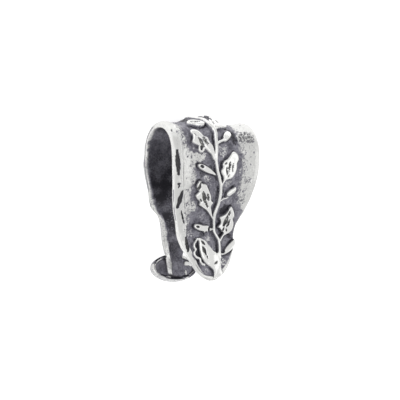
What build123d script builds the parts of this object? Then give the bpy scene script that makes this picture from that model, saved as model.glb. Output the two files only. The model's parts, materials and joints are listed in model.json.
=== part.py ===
from build123d import *

import os

import numpy as np
from scipy.interpolate import CubicSpline, PchipInterpolator
from scipy.spatial import ConvexHull, Delaunay, cKDTree

# Glue-on bail, cast in silver, in millimetres. One broad strap is bent over
# the chain passage, its front leg carries a raised vine, and its back leg
# ends on an oval glue pad. It lies on its back: +Z up, arch towards +Y,
# passage along X.

# Strap
band_width = 11.8
passage_radius = 3.02
wall_thickness = 1.0
front_height = 15.0
back_height = 14.7
bevel_width = 0.8
tip_radius = 1.9
heel_radius = 0.55
edge_share = 0.76
bevel_share = 0.4

# Raised middle and flared borders
dome_height = 0.62
border_height = 0.42
valley_share = 0.6
crest_share = 0.6

# Vine
stem_width = 0.52
stem_height = 0.42
stalk_width = 0.34
leaf_height = 0.4
leaf_hollow_depth = 0.14
bud_height = 0.4
draft_width = 0.13

# Glue pad
pad_width = 6.3
pad_height = 3.45
pad_floor_thickness = 0.55
pad_rim_width = 0.42
pad_rim_height = 0.34
pad_overlap_height = 1.15
pad_chamfer_width = 0.12
solder_depth = 0.12
pad_lean = 17.0

# Facets
edge_spacing = 0.42
outline_spacing = 0.22
face_spacing = 0.5
inner_spacing = 0.95
back_share = 1.6
crowd = 0.85
face_gap = 0.6
line_gap = 0.5
inner_gap = 0.55
rim_clear = 0.4
bevel_clear = 1.3
row_share = 0.866

# Sections of the front leg, from the arch to the tip. Down is a share of
# front_height, depth of passage_radius, width and lean of half the band,
# thick of wall_thickness, dome of dome_height, border of border_height.
# Over the arch the dome rises by crest_share more.
FRONT = {
    "down": (0.00, 0.13, 0.28, 0.43, 0.54, 0.64, 0.73, 0.81, 0.90, 1.00),
    "depth": (1.000, 1.000, 0.840, 0.560, 0.365, 0.305, 0.390, 0.515, 0.600, 0.635),
    "width": (0.987, 0.970, 0.910, 0.800, 0.671, 0.624, 0.595, 0.506, 0.390, 0.298),
    "lean": (-0.005, -0.012, -0.023, -0.043, -0.068, -0.066, -0.029, -0.012, -0.005, 0.000),
    "thick": (0.90, 0.95, 0.97, 1.05, 1.10, 1.10, 0.98, 0.80, 0.62, 0.55),
    "dome": (1.00, 1.00, 1.00, 0.95, 0.85, 0.75, 0.65, 0.55, 0.45, 0.35),
    "border": (0.80, 1.00, 1.00, 0.90, 0.70, 0.50, 0.40, 0.35, 0.30, 0.30),
}

# Sections of the back leg, from the arch to where it meets the pad. Down is
# a share of back_height.
BACK = {
    "down": (0.00, 0.08, 0.15, 0.29, 0.44, 0.54, 0.64, 0.74, 0.84),
    "depth": (1.000, 1.055, 1.110, 1.155, 1.430, 1.710, 2.000, 2.165, 2.200),
    "width": (0.987, 1.000, 0.962, 0.873, 0.744, 0.473, 0.327, 0.256, 0.185),
    "lean": (-0.005, 0.000, 0.000, 0.000, 0.000, 0.000, 0.000, 0.000, 0.000),
    "thick": (0.90, 0.95, 1.00, 1.00, 1.05, 1.20, 1.20, 0.95, 0.70),
    "dome": (0.85, 0.60, 0.35, 0.00, 0.00, 0.00, 0.00, 0.00, 0.00),
    "border": (0.80, 0.80, 0.80, 0.70, 0.50, 0.20, 0.00, 0.00, 0.00),
}

# The stem's sway. Along is a share of the front face from crest to tip,
# across is a share of half the band, swell is a share of stem_width.
STEM = {
    "along": (-0.09, 0.02, 0.10, 0.20, 0.31, 0.41, 0.46, 0.55, 0.63, 0.73, 0.82, 0.88, 0.93, 0.975),
    "across": (0.05, -0.04, -0.07, -0.07, -0.08, 0.03, 0.07, 0.04, 0.00, 0.12, 0.19, 0.14, 0.08, 0.03),
    "swell": (0.6, 1.0, 1.0, 1.0, 0.9, 0.9, 0.9, 0.9, 0.9, 0.9, 1.1, 2.2, 3.4, 2.2),
}

# Leaves and buds: foot and tip as places along and across the front face,
# and how broad, as a share of half the band.
LEAVES = {
    "crest_left": {"foot": (0.055, -0.07), "tip": (0.01, -0.53), "broad": 0.26},
    "crest_right": {"foot": (0.12, -0.03), "tip": (0.02, 0.47), "broad": 0.24},
    "left_1": {"foot": (0.265, -0.12), "tip": (0.125, -0.57), "broad": 0.30},
    "right_1": {"foot": (0.415, 0.05), "tip": (0.23, 0.41), "broad": 0.35},
    "left_2": {"foot": (0.61, -0.02), "tip": (0.385, -0.38), "broad": 0.33},
    "right_2": {"foot": (0.785, 0.19), "tip": (0.54, 0.45), "broad": 0.33},
    "left_3": {"foot": (0.89, 0.00), "tip": (0.745, -0.30), "broad": 0.34},
}
BUDS = {
    "bud_right_1": {"foot": (0.195, -0.04), "tip": (0.13, 0.38), "broad": 0.14},
    "bud_left_1": {"foot": (0.345, -0.08), "tip": (0.30, -0.47), "broad": 0.13},
    "bud_right_2": {"foot": (0.485, 0.07), "tip": (0.43, 0.48), "broad": 0.14},
    "bud_left_2": {"foot": (0.69, 0.03), "tip": (0.66, -0.40), "broad": 0.16},
    "bud_right_3": {"foot": (0.85, 0.18), "tip": (0.765, 0.54), "broad": 0.16},
}
stalk_share = 0.16
leaf_shoulder = 0.85
leaf_fullness = 0.75
lobes = 3.5
lobe_share = 0.13
rib_share = 0.86
dish_share = 0.3

# Points along the curves that the shapes are worked out from
profile_count = 400
outline_count = 800
end_count = 80
stem_count = 240
leaf_count = 80

COLUMNS = ("width", "lean", "thick", "dome", "border")
half_band = band_width / 2
least = 1e-6


def leg(table, height):
    """Depth and section of a leg as functions of the drop below the arch."""
    down = np.array(table["down"]) * height
    depth = np.array(table["depth"]) * passage_radius
    line = CubicSpline(down, depth, bc_type=((1, 0.0), "natural"))
    columns = [table[name] for name in COLUMNS]
    return line, PchipInterpolator(down, np.column_stack(columns))


def strap():
    """Inner face of the strap, side on, from the tip over the arch to the pad."""
    front_depth, front_section = leg(FRONT, front_height)
    back_depth, back_section = leg(BACK, back_height)
    met = BACK["down"][-1] * back_height
    last = back_height - met
    places = []
    for d in np.linspace(front_height, 0, profile_count):
        places.append((-front_depth(d), -d, *front_section(d)))
    for t in np.linspace(0, np.pi, profile_count)[1:-1]:
        part = t / np.pi
        section = (1 - part) * front_section(0) + part * back_section(0)
        section[COLUMNS.index("dome")] += crest_share * np.sin(t) ** 2
        places.append((-passage_radius * np.cos(t), passage_radius * np.sin(t), *section))
    for d in np.linspace(0, met, profile_count):
        places.append((back_depth(d), -d, *back_section(d)))
    for d in np.linspace(0, last, profile_count)[1:]:
        y = back_depth(met) - d * np.tan(np.radians(pad_lean))
        places.append((y, -met - d, *back_section(met)))
    return np.array(places)


y_in, z_in, width_in, lean_in, thick_in, dome_in, border_in = strap().T
run = np.concatenate([[0], np.cumsum(np.hypot(np.diff(y_in), np.diff(z_in)))])
length = run[-1]
crest = run[np.argmax(z_in)]
normal_y = -np.gradient(z_in, run)
normal_z = np.gradient(y_in, run)


def middle_at(s):
    """How far the strap's middle stands to one side."""
    return np.interp(s, run, lean_in) * half_band


def half_width(s):
    """Half the strap's width, rounded off at the tip and at the pad's end."""
    w = np.interp(s, run, width_in) * half_band
    tip = np.clip(1 - s / tip_radius, 0, 1)
    heel = np.clip(1 - (length - s) / heel_radius, 0, 1)
    return w * np.sqrt(1 - tip**2) * np.sqrt(1 - heel**2)


def place(x, s, n):
    """Point at x across and s along the strap, n out from its inner face."""
    y = np.interp(s, run, y_in) + n * np.interp(s, run, normal_y)
    z = np.interp(s, run, z_in) + n * np.interp(s, run, normal_z)
    return np.column_stack([x, y, z])


def smooth(t):
    t = np.clip(t, 0, 1)
    return t * t * (3 - 2 * t)


def bevel_at(s):
    """Width of the rounded edge, narrower where the strap is narrow."""
    return np.minimum(bevel_width, bevel_share * np.interp(s, run, width_in) * half_band)


def ground(x, s):
    """Height of the outer face without the vine: dome, valley, raised border, bevel."""
    w = np.maximum(half_width(s), least)
    thick = np.interp(s, run, thick_in) * wall_thickness
    dome = np.interp(s, run, dome_in) * dome_height
    rise = np.interp(s, run, border_in) * border_height
    valley = valley_share * w
    bevel = bevel_at(s)
    away = np.abs(x - middle_at(s))
    border = smooth((away - valley) / np.maximum(w - bevel - valley, bevel_share * w))
    middle = 1 - smooth(away / valley)
    drop = np.clip(1 - (w - away) / bevel, 0, 1)
    return thick - rise * (1 - border) + dome * middle - (1 - edge_share) * thick * drop**2


def spot(along, across):
    """Place on the front face, as distance across and distance along the strap."""
    return np.array([across * half_band, crest * (1 - along)])


def resample(line, spacing):
    """The same line with its points evenly spaced."""
    gaps = np.hypot(*np.diff(line, axis=0).T)
    at = np.concatenate([[0], np.cumsum(gaps)])
    count = max(2, round(at[-1] / spacing) + 1)
    even = np.linspace(0, at[-1], count)
    return np.column_stack([np.interp(even, at, line[:, k]) for k in (0, 1)])


def shrunk(line, inset):
    """A closed line moved inwards by inset, point by point."""
    step = np.roll(line, -1, axis=0) - np.roll(line, 1, axis=0)
    step /= np.hypot(*step.T)[:, None]
    return line + inset[:, None] * np.column_stack([-step[:, 1], step[:, 0]])


def leaf_shape(foot, tip, broad, inset, lobed):
    """Closed outline of a leaf or bud with its stalk, or the same line further in."""
    axis = tip - foot
    reach = np.hypot(*axis)
    axis = axis / reach
    side = np.array([-axis[1], axis[0]])
    t = np.linspace(0, 1, leaf_count)
    blade = np.clip((t - stalk_share) / (1 - stalk_share), 0, 1)
    half = broad / 2 * np.sin(np.pi * blade**leaf_shoulder) ** leaf_fullness
    half *= 1 + lobed * lobe_share * np.cos(2 * np.pi * lobes * blade)
    half = np.maximum(half, stalk_width / 2 * (t < 0.5)) - inset
    keep = half > 0
    at = foot + np.outer(inset + t[keep] * (reach - 2 * inset), axis)
    left = at + half[keep, None] * side
    right = at - half[keep, None] * side
    return np.vstack([left, right[::-1], left[:1]])


def stem_shape(inset):
    """Closed outline of the stem, swelling into the boss at the tip."""
    across = CubicSpline(STEM["along"], STEM["across"])
    swell = PchipInterpolator(STEM["along"], STEM["swell"])
    along = np.linspace(STEM["along"][0], STEM["along"][-1], stem_count)
    line = np.column_stack([across(along) * half_band, crest * (1 - along)])
    step = np.gradient(line, axis=0)
    step /= np.hypot(*step.T)[:, None]
    side = np.column_stack([-step[:, 1], step[:, 0]])
    half = np.maximum(swell(along) * stem_width / 2 - inset, draft_width / 6)[:, None]
    left = line + half * side
    right = line - half * side
    return np.vstack([left, right[::-1], left[:1]])


def depth_in(points, outline):
    """Distance of points from a closed outline, positive inside it."""
    best = np.full(len(points), np.inf)
    hit = np.zeros(len(points), bool)
    x, y = points.T
    for (x0, y0), (x1, y1) in zip(outline[:-1], outline[1:]):
        dx, dy = x1 - x0, y1 - y0
        size = dx * dx + dy * dy
        if size == 0:
            continue
        t = np.clip(((x - x0) * dx + (y - y0) * dy) / size, 0, 1)
        best = np.minimum(best, np.hypot(x - x0 - t * dx, y - y0 - t * dy))
        if dy != 0:
            hit ^= ((y0 > y) != (y1 > y)) & (x < x0 + (y - y0) * dx / dy)
    return np.where(hit, best, -best)


def strap_outline(spacing):
    """Outline of the flat strap, evenly spaced."""
    ends = np.concatenate([
        tip_radius * (1 - np.cos(np.linspace(0, np.pi / 2, end_count))),
        np.linspace(tip_radius, length - heel_radius, outline_count)[1:-1],
        length - heel_radius * (1 - np.cos(np.linspace(np.pi / 2, 0, end_count))),
    ])
    middle = middle_at(ends)
    right = np.column_stack([middle + half_width(ends), ends])
    left = np.column_stack([middle - half_width(ends), ends])[::-1]
    return resample(np.vstack([right, left[1:]]), spacing)


border_line = strap_outline(edge_spacing)
outline = border_line[:-1]


def scattered(spacing_at, low, high):
    """Staggered points over part of the strap."""
    found = []
    s = low
    row = 0
    while s < high:
        spacing = spacing_at(s)
        count = int(half_band / spacing) + 1
        x = (np.arange(-count, count + 1) + 0.5 * (row % 2)) * spacing
        found += [(a, s) for a in x]
        s += spacing * row_share
        row += 1
    found = np.array(found)
    return found[depth_in(found, border_line) > 0]


def clear_of(points, taken, gap):
    """Only the points that don't crowd those already taken."""
    near, _ = cKDTree(np.vstack(taken)).query(points)
    return points[near > gap]


def inner_face():
    """Flat places of the inner face."""
    fill = scattered(lambda s: inner_spacing, inner_spacing, length)
    return np.vstack([outline, clear_of(fill, [outline], inner_gap * inner_spacing)])


def vine_forms():
    """Foot, top and rib lines of the stem, the leaves and the buds, with their heights."""
    stem = {"foot": stem_shape(0), "top": stem_shape(draft_width), "height": stem_height}
    forms = [{**stem, "hollow": 0, "reach": 1}]
    for table, height, lobed in ((LEAVES, leaf_height, 1), (BUDS, bud_height, 0)):
        for leaf in table.values():
            foot = spot(*leaf["foot"])
            tip = spot(*leaf["tip"])
            broad = leaf["broad"] * half_band
            forms.append({
                "foot": leaf_shape(foot, tip, broad, 0, lobed),
                "top": leaf_shape(foot, tip, broad, draft_width, lobed),
                "rib": np.array([foot, foot + rib_share * (tip - foot)]),
                "height": height,
                "hollow": lobed * leaf_hollow_depth,
                "reach": dish_share * broad,
            })
    return forms


forms = vine_forms()


def vine_lift(points):
    """Height of the vine above the ground."""
    lift = np.zeros(len(points))
    for form in forms:
        deep = depth_in(points, form["foot"])
        up = form["height"] * np.clip(deep / draft_width, 0, 1)
        up -= form["hollow"] * np.clip((deep - draft_width) / form["reach"], 0, 1)
        lift = np.maximum(lift, up)
    return lift


def outer_face():
    """Flat places of the outer face, gathered where the vine turns up."""
    taken = [outline]
    lines = []
    for level in ("top", "foot"):
        for own in forms:
            ring = resample(own[level], outline_spacing)[:-1]
            for other in forms:
                if other is not own:
                    ring = ring[depth_in(ring, other[level]) < draft_width / 6]
            lines.append((ring, crowd * draft_width))
    for form in forms:
        if "rib" in form:
            lines.append((resample(form["rib"], outline_spacing)[1:], draft_width))
    vine = len(lines)
    s = np.arange(tip_radius, length - heel_radius, face_spacing)
    for share in (valley_share, 0.5 * valley_share):
        for sign in (-1, 1):
            x = middle_at(s) + sign * share * half_width(s)
            lines.append((np.column_stack([x, s]), line_gap * face_spacing))
    for share in (1, 0.5):
        ring = shrunk(outline, share * bevel_at(outline[:, 1]))
        lines.append((ring, line_gap * face_spacing))
    fill = scattered(fill_spacing, tip_radius / 2, length)
    fill = fill[depth_in(fill, border_line) > bevel_clear * bevel_at(fill[:, 1])]
    lines.append((fill, face_gap * face_spacing))
    for k, (line, gap) in enumerate(lines):
        line = line[depth_in(line, border_line) > rim_clear * edge_spacing]
        if k >= vine:
            line = line[vine_lift(line) == 0]
        if len(line):
            line = clear_of(line, taken[1:] or [outline], gap)
        if len(line):
            taken.append(line)
    return np.vstack(taken)


def fill_spacing(s):
    """Wider behind the crest, where the face is plain."""
    return face_spacing * (1 if s < 1.2 * crest else back_share)


def triangles(flat):
    """Triangles over flat places, kept inside the strap's outline."""
    cells = Delaunay(flat).simplices
    cells = cells[depth_in(flat[cells].mean(axis=1), border_line) > 0]
    a, b, c = (flat[cells[:, k]] for k in range(3))
    ab = b - a
    ac = c - a
    turn = ab[:, 0] * ac[:, 1] - ab[:, 1] * ac[:, 0]
    cells[turn < 0] = cells[turn < 0][:, ::-1]
    return cells


outer_flat = outer_face()
inner_flat = inner_face()
outer_cells = triangles(outer_flat)
inner_cells = triangles(inner_flat)
outer_points = place(*outer_flat.T, ground(*outer_flat.T) + vine_lift(outer_flat))
inner_points = place(*inner_flat.T, np.zeros(len(inner_flat)))

rim = len(outline)
start = len(outer_points)
here = np.arange(rim)
after = (here + 1) % rim
walls = np.vstack([
    np.column_stack([here, here + start, after]),
    np.column_stack([after, here + start, after + start]),
])
points = np.vstack([outer_points, inner_points])
cells = np.vstack([outer_cells, inner_cells[:, ::-1] + start, walls])

heel = length - pad_overlap_height
seat = np.interp(heel, run, thick_in) * wall_thickness - solder_depth
pad_middle = place(np.zeros(1), np.array([heel]), np.array([seat]))[0]
pad_back = np.array([0, np.cos(np.radians(pad_lean)), -np.sin(np.radians(pad_lean))])
pad_down = np.array([0, -np.sin(np.radians(pad_lean)), -np.cos(np.radians(pad_lean))])


def lying():
    """Directions, in the upright strap, of the axes of the bail lying on its back."""
    ends = np.array([[-1], [1]]) * pad_down * pad_height / 2
    pad = pad_middle + pad_floor_thickness * pad_back + ends
    side = np.vstack([points, pad])[:, 1:]
    hull = ConvexHull(side)
    middle = points[:, 1:].mean(axis=0)
    for (a, b), face in zip(side[hull.simplices], hull.equations):
        out = face[:2]
        along = np.array([-out[1], out[0]])
        low, high = sorted((a @ along, b @ along))
        if out[0] > 0 and low < middle @ along < high:
            return np.array([[1, 0, 0], [0, *along], [0, *-out]])
    raise ValueError("the bail has no side to lie on")


turned = lying()


def faceted(points, cells):
    """Closed solid from triangles."""
    spots = [Vector(*p) for p in points]
    faces = [Face(Wire.make_polygon([spots[k] for k in cell])) for cell in cells]
    return Solid(Shell(faces))


def glue_pad(middle, back):
    """Oval dish: a flat back to glue, a floor under the leg's end and a raised rim."""
    seat_plane = Plane(origin=tuple(middle), x_dir=(1, 0, 0), z_dir=tuple(back))
    oval = extrude(Ellipse(pad_width / 2, pad_height / 2), pad_floor_thickness + pad_rim_height)
    oval = chamfer(oval.edges(), pad_chamfer_width)
    dish = Ellipse(pad_width / 2 - pad_rim_width, pad_height / 2 - pad_rim_width)
    oval -= extrude(dish, pad_rim_height)
    return seat_plane * Pos(0, 0, -pad_rim_height) * oval


strap_solid = faceted(points @ turned.T, cells)
pad_solid = glue_pad(turned @ pad_middle, turned @ pad_back)
bail = (strap_solid + pad_solid).solid()
box = bail.bounding_box()
origin = Vector(box.center().X, box.center().Y, box.min.Z)
bail = bail.moved(Location(-origin))

os.makedirs("parts", exist_ok=True)
export_step(bail, "parts/bail.step")


def told(name, point):
    print(name, np.round(turned @ point - np.array(tuple(origin)), 4))


print("triangles", len(cells), "faces", len(bail.faces()), "volume", round(bail.volume, 3))
print("valid", bail.is_valid, "size", bail.bounding_box().size)
told("middle of the glue face", pad_middle + pad_floor_thickness * pad_back)
print("out of the glue face", np.round(turned @ pad_back, 5))
told("middle of the arch", np.zeros(3))
print("down from the arch", np.round(turned @ np.array([0, 0, -1]), 5))
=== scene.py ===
import json
import math

import bpy
import numpy as np
from mathutils import Matrix, Vector


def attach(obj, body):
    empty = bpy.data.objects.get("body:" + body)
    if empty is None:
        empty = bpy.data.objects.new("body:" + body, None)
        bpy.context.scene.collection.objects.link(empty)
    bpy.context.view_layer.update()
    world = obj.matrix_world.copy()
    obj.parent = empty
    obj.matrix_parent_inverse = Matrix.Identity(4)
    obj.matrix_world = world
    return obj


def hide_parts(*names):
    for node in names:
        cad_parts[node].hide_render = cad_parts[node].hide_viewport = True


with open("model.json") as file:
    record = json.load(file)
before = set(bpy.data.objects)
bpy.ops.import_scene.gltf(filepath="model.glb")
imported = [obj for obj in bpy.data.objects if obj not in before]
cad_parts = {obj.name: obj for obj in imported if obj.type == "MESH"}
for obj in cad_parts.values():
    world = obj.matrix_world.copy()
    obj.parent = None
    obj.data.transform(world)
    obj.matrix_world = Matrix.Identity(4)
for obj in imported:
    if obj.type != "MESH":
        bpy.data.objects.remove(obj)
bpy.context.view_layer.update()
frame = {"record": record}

# The strap. One broad band of cast silver, bent over the chain passage: the
# front leg narrows to a round tip, the back leg to a neck that meets the pad.
# Sizes are in millimetres, on the upright bail, with the arch's centre at 0.
MM = 0.001
mounts = {mount["name"]: mount for mount in frame["record"]["mounts"]}
chain_seat = mounts["chain_seat"]
glue_face = mounts["glue_face"]
passage_radius = chain_seat["dims"]["r_mm"]
half_band = chain_seat["dims"]["length_mm"] / 2
wall_thickness = 1.0
front_height = 15.0
back_height = 14.7
pad_lean = math.radians(17.0)
tip_radius = 1.9
heel_radius = 0.55
edge_share = 0.76
corner_radius = 0.1
dome_height = 0.62
border_height = 0.42
valley_share = 0.6
crest_share = 0.6

# Sections of the front leg, from the arch to the tip. Down is a share of
# front_height, depth of passage_radius, width and lean of half the band,
# thick of wall_thickness, dome of dome_height, border of border_height.
# Over the arch the dome rises by crest_share more.
FRONT = {
    "down": (0.00, 0.13, 0.28, 0.43, 0.54, 0.64, 0.73, 0.81, 0.90, 1.00),
    "depth": (1.000, 1.000, 0.840, 0.560, 0.365, 0.305, 0.390, 0.515, 0.600, 0.635),
    "width": (0.987, 0.970, 0.910, 0.800, 0.671, 0.624, 0.595, 0.506, 0.390, 0.298),
    "lean": (-0.005, -0.012, -0.023, -0.043, -0.068, -0.066, -0.029, -0.012, -0.005, 0.000),
    "thick": (0.90, 0.95, 0.97, 1.05, 1.10, 1.10, 0.98, 0.80, 0.62, 0.55),
    "dome": (1.00, 1.00, 1.00, 0.95, 0.85, 0.75, 0.65, 0.55, 0.45, 0.35),
    "border": (0.80, 1.00, 1.00, 0.90, 0.70, 0.50, 0.40, 0.35, 0.30, 0.30),
}
# The same of the back leg, down to the pad, with down a share of back_height
BACK = {
    "down": (0.00, 0.08, 0.15, 0.29, 0.44, 0.54, 0.64, 0.74, 0.84),
    "depth": (1.000, 1.055, 1.110, 1.155, 1.430, 1.710, 2.000, 2.165, 2.200),
    "width": (0.987, 1.000, 0.962, 0.873, 0.744, 0.473, 0.327, 0.256, 0.185),
    "lean": (-0.005, 0.000, 0.000, 0.000, 0.000, 0.000, 0.000, 0.000, 0.000),
    "thick": (0.90, 0.95, 1.00, 1.00, 1.05, 1.20, 1.20, 0.95, 0.70),
    "dome": (0.85, 0.60, 0.35, 0.00, 0.00, 0.00, 0.00, 0.00, 0.00),
    "border": (0.80, 0.80, 0.80, 0.70, 0.50, 0.20, 0.00, 0.00, 0.00),
}
# Width of the rounded edge on either side, at distances up from the tip
EDGES = {
    "up": (0.0, 1.0, 2.5, 4.5, 6.0, 7.5, 9.0, 10.5, 13.0, 16.0, 20.0, 26.0, 30.0, 34.0, 40.5),
    "left": (0.30, 0.45, 0.55, 0.62, 0.92, 1.08, 1.10, 1.08, 1.02, 0.95, 0.85, 0.80, 0.55, 0.40, 0.25),
    "right": (0.50, 0.60, 0.30, 0.14, 0.14, 0.16, 0.35, 0.60, 0.70, 0.75, 0.80, 0.80, 0.55, 0.40, 0.25),
}
# How far the blackened ground reaches to either side of the strap's middle line
GROUND = {
    "up": (0.0, 6.0, 7.5, 9.0, 10.0, 11.5, 13.5, 14.5, 15.6, 16.1, 17.2, 18.3, 19.0, 20.0, 21.5),
    "left": (9.0, 3.10, 3.15, 3.15, 3.25, 3.25, 3.25, 3.30, 3.45, 4.10, 4.20, 4.20, 4.20, 4.60, 4.60),
    "right": (9.0, 9.0, 9.0, 3.80, 3.50, 3.35, 3.40, 3.60, 3.45, 3.15, 3.20, 3.10, 3.00, 3.10, 3.00),
}


def flowing(at, values, where, level_start=False):
    """A cubic curve through values, straight at its ends or level at its start."""
    count = len(at)
    gap = np.diff(at)
    rise = np.diff(values, axis=0) / (gap if values.ndim == 1 else gap[:, None])
    lines = np.zeros((count, count))
    sums = np.zeros_like(values, dtype=float)
    for k in range(1, count - 1):
        lines[k, k - 1] = gap[k]
        lines[k, k] = 2 * (gap[k - 1] + gap[k])
        lines[k, k + 1] = gap[k - 1]
        sums[k] = 3 * (gap[k] * rise[k - 1] + gap[k - 1] * rise[k])
    lines[0, :2] = (1, 0) if level_start else (2, 1)
    sums[0] = 0 if level_start else 3 * rise[0]
    lines[-1, -2:] = (1, 2)
    sums[-1] = 3 * rise[-1]
    return between(at, values, np.linalg.solve(lines, sums), where)


def steady(at, values, where):
    """A curve through values that never passes beyond two neighbours."""
    gap = np.diff(at)
    rise = np.diff(values) / gap
    slope = np.zeros(len(at))
    for k in range(1, len(at) - 1):
        if rise[k - 1] * rise[k] > 0:
            before = 2 * gap[k] + gap[k - 1]
            after = gap[k] + 2 * gap[k - 1]
            slope[k] = (before + after) / (before / rise[k - 1] + after / rise[k])
    slope[0] = rise[0]
    slope[-1] = rise[-1]
    return between(at, values, slope, where)


def between(at, values, slope, where):
    """The cubic pieces between values with given slopes."""
    k = np.clip(np.searchsorted(at, where) - 1, 0, len(at) - 2)
    gap = at[k + 1] - at[k]
    t = np.clip((where - at[k]) / gap, 0, 1)
    if values.ndim > 1:
        gap = gap[:, None]
        t = t[:, None]
    start = values[k] * (1 + 2 * t) * (1 - t) ** 2 + slope[k] * gap * t * (1 - t) ** 2
    return start + values[k + 1] * t * t * (3 - 2 * t) - slope[k + 1] * gap * t * t * (1 - t)


COLUMNS = ("width", "lean", "thick", "dome", "border")


def leg(table, down):
    """Depth and section of a leg at shares of its drop."""
    at = np.array(table["down"])
    depth = flowing(at, np.array(table["depth"]), down, level_start=True) * passage_radius
    return depth, np.column_stack([steady(at, np.array(table[name]), down) for name in COLUMNS])


def strap_line(count):
    """Inner face of the strap, side on, from the tip over the arch to the pad."""
    down = np.linspace(1, 0, count)
    depth, front_section = leg(FRONT, down)
    front = np.column_stack([-depth, -down * front_height, front_section])
    met = BACK["down"][-1]
    down = np.linspace(0, met, count)
    depth, back_section = leg(BACK, down)
    back = np.column_stack([depth, -down * back_height, back_section])
    turn = np.linspace(0, np.pi, count)[1:-1, None]
    crest_section = front_section[-1] + (back_section[0] - front_section[-1]) * turn / np.pi
    crest_section[:, COLUMNS.index("dome")] += crest_share * np.sin(turn[:, 0]) ** 2
    arc = passage_radius * np.hstack([-np.cos(turn), np.sin(turn)])
    fall = np.linspace(0, (1 - met) * back_height, count)[1:, None]
    end = np.hstack([depth[-1] - fall * math.tan(pad_lean), -met * back_height - fall])
    end = np.hstack([end, np.repeat(back_section[-1:], count - 1, axis=0)])
    return np.vstack([front, np.hstack([arc, crest_section]), back, end])


line = strap_line(400)
line_y, line_z, width_at, lean_at, thick_at, dome_at, border_at = line.T
run = np.concatenate([[0], np.cumsum(np.hypot(np.diff(line_y), np.diff(line_z)))])
length = run[-1]
crest = run[np.argmax(line_z)]
normal_y = -np.gradient(line_z, run)
normal_z = np.gradient(line_y, run)
lie = math.atan2(glue_face["axis"][2], glue_face["axis"][1]) + pad_lean


def laid(points):
    """Points of the upright bail, in millimetres, on the lying one, in metres."""
    x, y, z = np.asarray(points, float).T
    across = math.cos(lie) * y - math.sin(lie) * z
    up = math.sin(lie) * y + math.cos(lie) * z
    return np.column_stack([x, across, up]) * MM + np.array(chain_seat["pos_m"])


def place(x, s, n):
    """Point at x across and s along the strap, n out from its inner face."""
    y = np.interp(s, run, line_y) + n * np.interp(s, run, normal_y)
    z = np.interp(s, run, line_z) + n * np.interp(s, run, normal_z)
    return np.column_stack([x, y, z])


def smooth(t):
    """0 below 0, 1 above 1, and a soft rise between."""
    t = np.clip(t, 0, 1)
    return t * t * (3 - 2 * t)


def middle_at(s):
    """How far the strap's middle stands to one side."""
    return np.interp(s, run, lean_at) * half_band


def half_width(s):
    """Half the strap's width, rounded off at the tip and at the pad's end."""
    tip = np.clip(1 - s / tip_radius, 0, 1)
    heel = np.clip(1 - (length - s) / heel_radius, 0, 1)
    w = np.interp(s, run, width_at) * half_band
    return w * np.sqrt(1 - tip**2) * np.sqrt(1 - heel**2)


def from_rim(x, s):
    """Distance in from the strap's outline."""
    w = np.maximum(half_width(s), 1e-4)
    away = np.abs(x - middle_at(s))
    slope = (half_width(s + 0.01) - half_width(np.maximum(s - 0.01, 0))) / 0.02
    side = (w - away) / np.hypot(1, slope)
    end = (w**2 - away**2) / (2 * np.hypot(away, w * slope) + 1e-6)
    return np.clip(np.minimum(side, end), 0, None)


def rumple(x, s, cell, seed):
    """Uneven height from 0 to 1 over the flat strap, with hills about a cell wide."""
    hills = np.random.default_rng(seed).random((int(16 / cell) + 4, int(44 / cell) + 4))
    u = (x + 8) / cell
    v = (s + 1) / cell
    i = np.floor(u).astype(int)
    j = np.floor(v).astype(int)
    a = smooth(u - i)
    b = smooth(v - j)
    low = hills[i, j] * (1 - a) + hills[i + 1, j] * a
    high = hills[i, j + 1] * (1 - a) + hills[i + 1, j + 1] * a
    return low * (1 - b) + high * b


def pits(x, s, cell, wide, seed):
    """1 in the middle of scattered round pits, one for each cell, and 0 outside them."""
    count = (int(16 / cell) + 4, int(44 / cell) + 4)
    random = np.random.default_rng(seed)
    across, along, size = random.random((3, *count))
    u = (x + 8) / cell
    v = (s + 1) / cell
    i = np.floor(u).astype(int)
    j = np.floor(v).astype(int)
    deep = np.zeros(len(x))
    for a in (-1, 0, 1):
        for b in (-1, 0, 1):
            k = (i + a, j + b)
            away = np.hypot(u - k[0] - across[k], v - k[1] - along[k]) * cell
            reach = wide * (0.3 + 0.7 * size[k])
            deep = np.maximum(deep, smooth(1.5 * (1 - away / reach)))
    return deep


# The vine. It is part of the casting: a round stem that sways up the front leg
# and over the crest, lobed leaves with sunk slots beside their ribs, oval buds,
# and a polished boss at the tip. Places are (across, up from the tip) when flat.
stem_height = 0.42
leaf_height = 0.40
bud_height = 0.40
thread_height = 0.26
lobe_height = 0.16
# How far in from its foot each kind of form rounds off, and how much of its
# height is flat, with hammer marks of a cell's width on the rest
stem_reach = 0.20
leaf_reach = 0.26
bud_reach = 0.32
lobe_reach = 0.20
boss_reach = 0.50
flat_share = 0.70
hammer_cell = 0.34
draft_width = 0.16
crevice_width = 0.15
crevice_depth = 0.09
slot_depth = 0.27

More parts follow.
